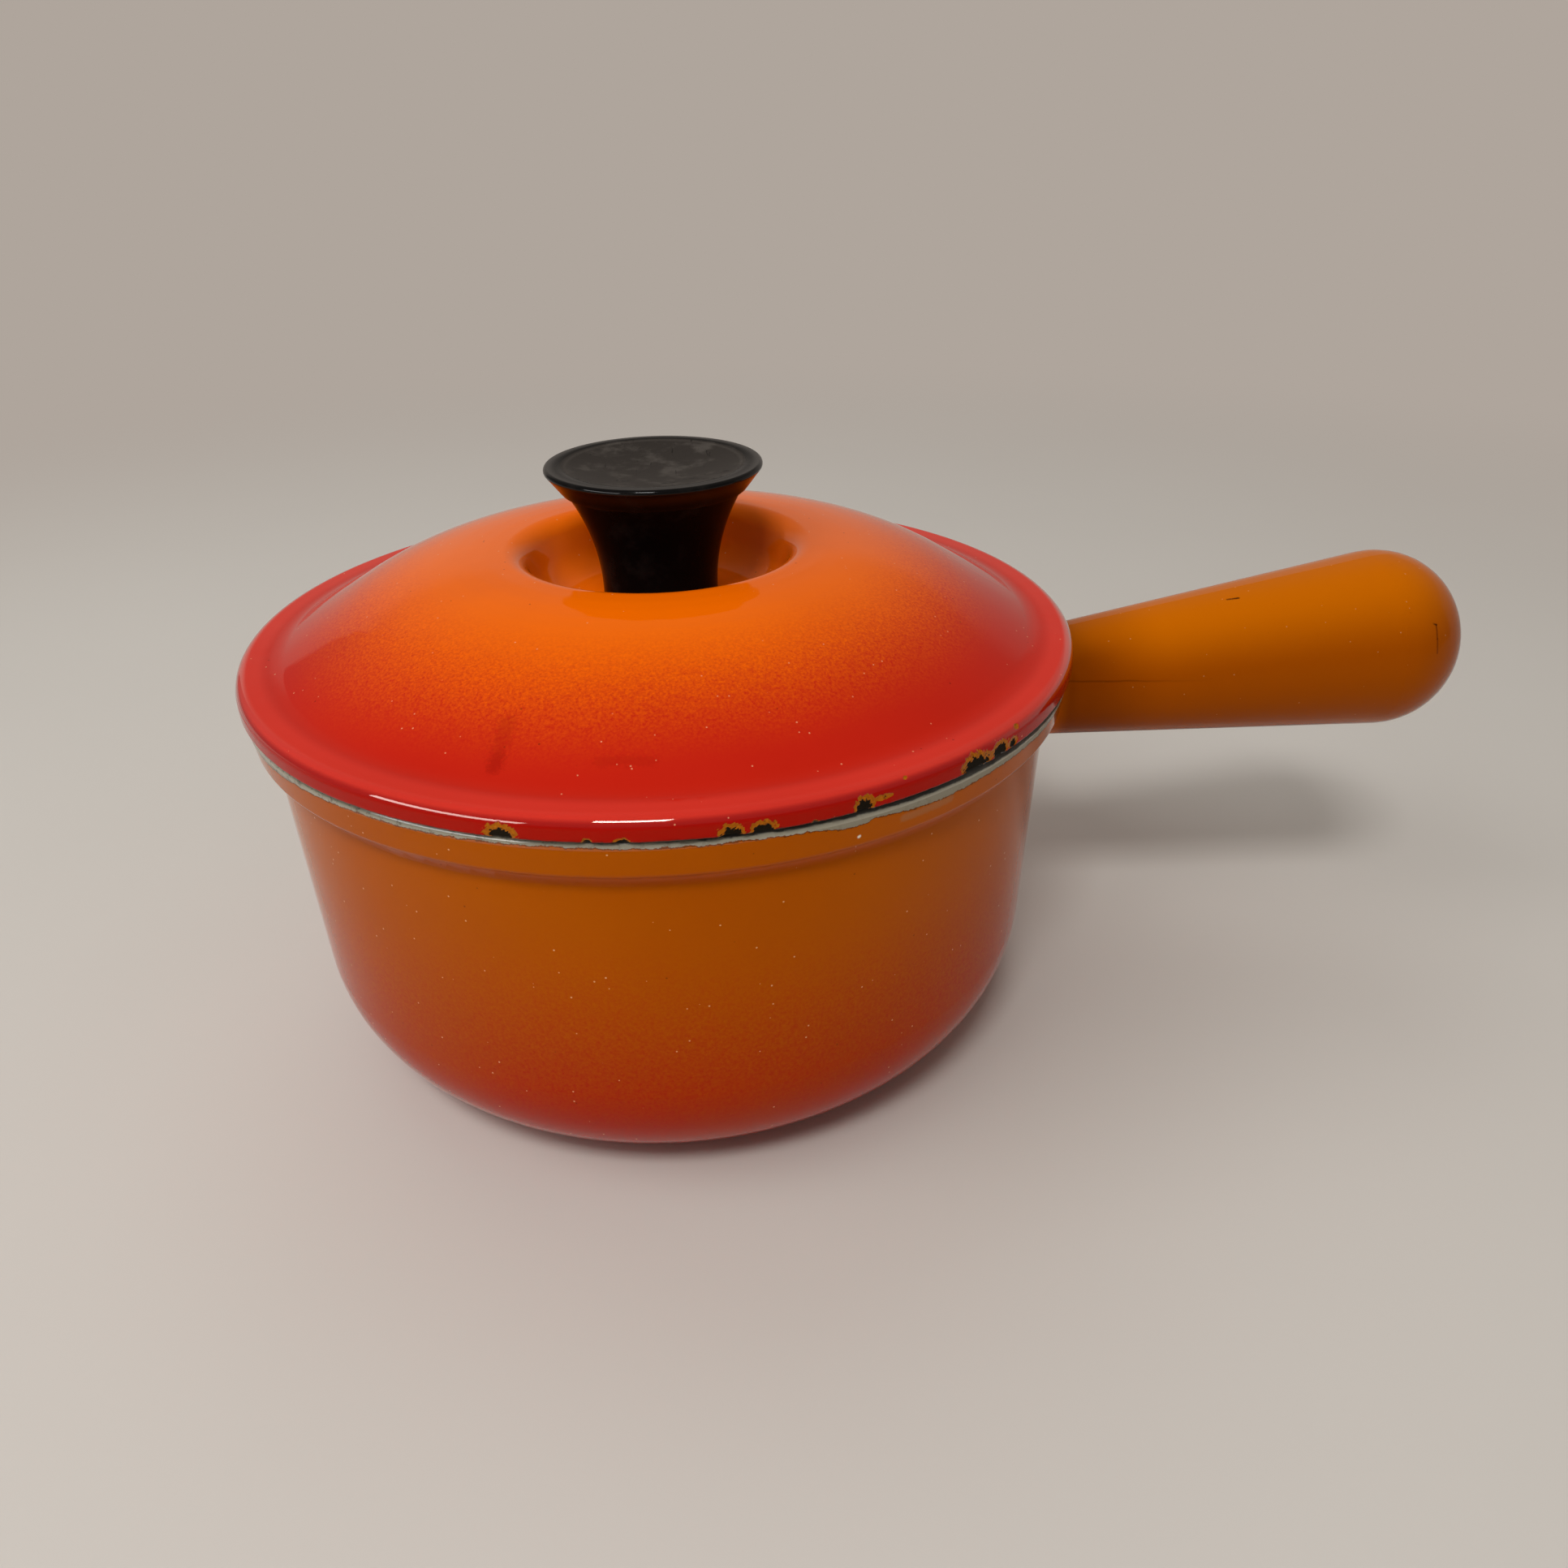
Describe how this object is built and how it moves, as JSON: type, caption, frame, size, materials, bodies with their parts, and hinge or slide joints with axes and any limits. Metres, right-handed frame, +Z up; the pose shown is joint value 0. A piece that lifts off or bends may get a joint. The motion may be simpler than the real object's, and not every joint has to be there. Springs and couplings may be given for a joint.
{
  "type": "cast iron saucepan with lid",
  "caption": "Round enamelled cast-iron saucepan with a domed lid sunken in the middle, a waisted screw-on knob and a hollow tapering handle cast in one with the bowl.",
  "frame": {"origin": "centre of the base, on the surface the pan stands on", "axes": "+X along the handle, away from the bowl; +Z up through the lid's knob"},
  "size_m": [0.2924, 0.19, 0.1372],
  "materials": {
    "bare_iron": "as cast, ground flat under the base",
    "orange_enamel": "glossy vitreous enamel shading from amber at the rim to red at the base",
    "red_enamel": "glossy vitreous enamel shading from red at the edge to orange at the crown",
    "cream_enamel": "glossy grey-cream vitreous enamel",
    "black_phenolic": "satin moulded phenolic",
    "brass": "turned",
    "steel": "plated"
  },
  "bodies": {
    "pan": {"pan_casting": "bare_iron", "pan_outer_enamel": "orange_enamel", "pan_inner_enamel": "cream_enamel"},
    "lid": {"lid_casting": "bare_iron", "lid_outer_enamel": "red_enamel", "lid_inner_enamel": "cream_enamel", "plain_washer": "steel", "spring_washer": "steel"},
    "knob": {"knob": "black_phenolic", "knob_insert": "brass"},
    "screw": {"knob_screw": "steel"}
  },
  "joints": [
    {"name": "lid_lift", "type": "slide", "parent": "pan", "child": "lid", "axis": [0, 0, 1], "range_m": [0, 0.15]},
    {"name": "knob_rise", "type": "slide", "parent": "lid", "child": "knob", "axis": [0, 0, 1], "range_m": [0, 0.0088]},
    {"name": "screw_turn", "type": "hinge", "parent": "lid", "child": "screw", "pos_m": [0, 0, 0.1], "axis": [0, 0, -1], "range_deg": [0, 3970]}
  ],
  "couplings": [
    {"joint": "screw_turn", "follows": "knob_rise", "rad_per_m": 7854}
  ]
}
